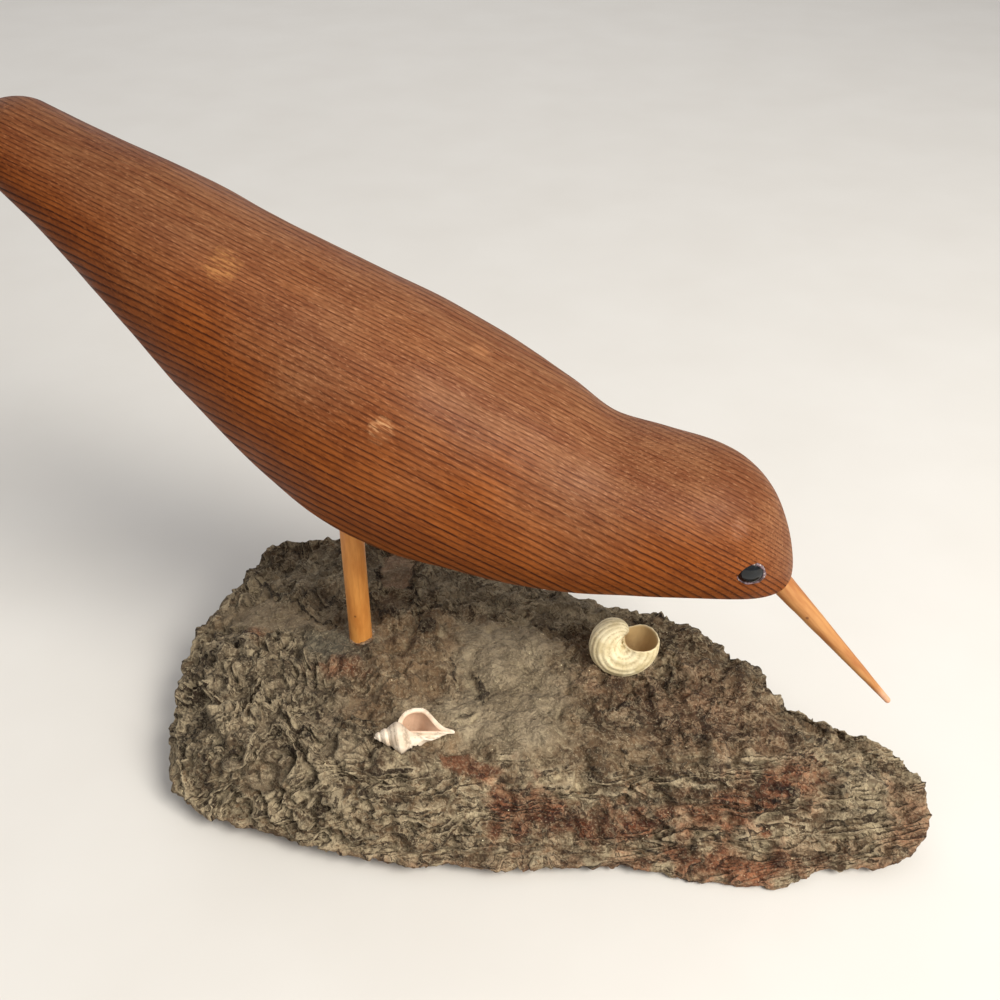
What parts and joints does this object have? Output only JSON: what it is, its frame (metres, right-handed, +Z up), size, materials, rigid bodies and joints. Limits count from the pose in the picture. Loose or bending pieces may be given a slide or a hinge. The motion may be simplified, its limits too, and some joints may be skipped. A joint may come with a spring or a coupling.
{
  "type": "carved shorebird decoy",
  "caption": "Carved wooden shorebird leaning forward to feed, standing on a peg leg on a slab of old bark with sea shells glued to it.",
  "frame": {"origin": "on the surface that the slab stands on, straight under the leg's axis", "axes": "+X the way the bird faces, from tail to bill; +Z up; the bird's right side faces -Y"},
  "size_m": [0.2966, 0.1254, 0.2184],
  "materials": {
    "body_wood": "reddish softwood with fine straight dark growth lines, rubbed to a low sheen, worn paler on the back",
    "bill_wood": "light wood dowel, sanded, with a few dark flecks",
    "leg_wood": "orange-yellow wood dowel, satin",
    "eye_glass": "dark glossy glass, opaque",
    "bark": "weathered bark, grey-green and brown, flaky and cracked, with reddish streaks",
    "round_shell": "chalky cream shell, tan inside the mouth",
    "whelk_shell": "worn white shell, pinkish brown inside the mouth"
  },
  "bodies": {
    "root": {"body": "body_wood", "bill": "bill_wood", "eye_right": "eye_glass", "eye_left": "eye_glass", "leg": "leg_wood", "bark_slab": "bark", "shell_round": "round_shell", "shell_whelk": "whelk_shell"}
  },
  "joints": []
}
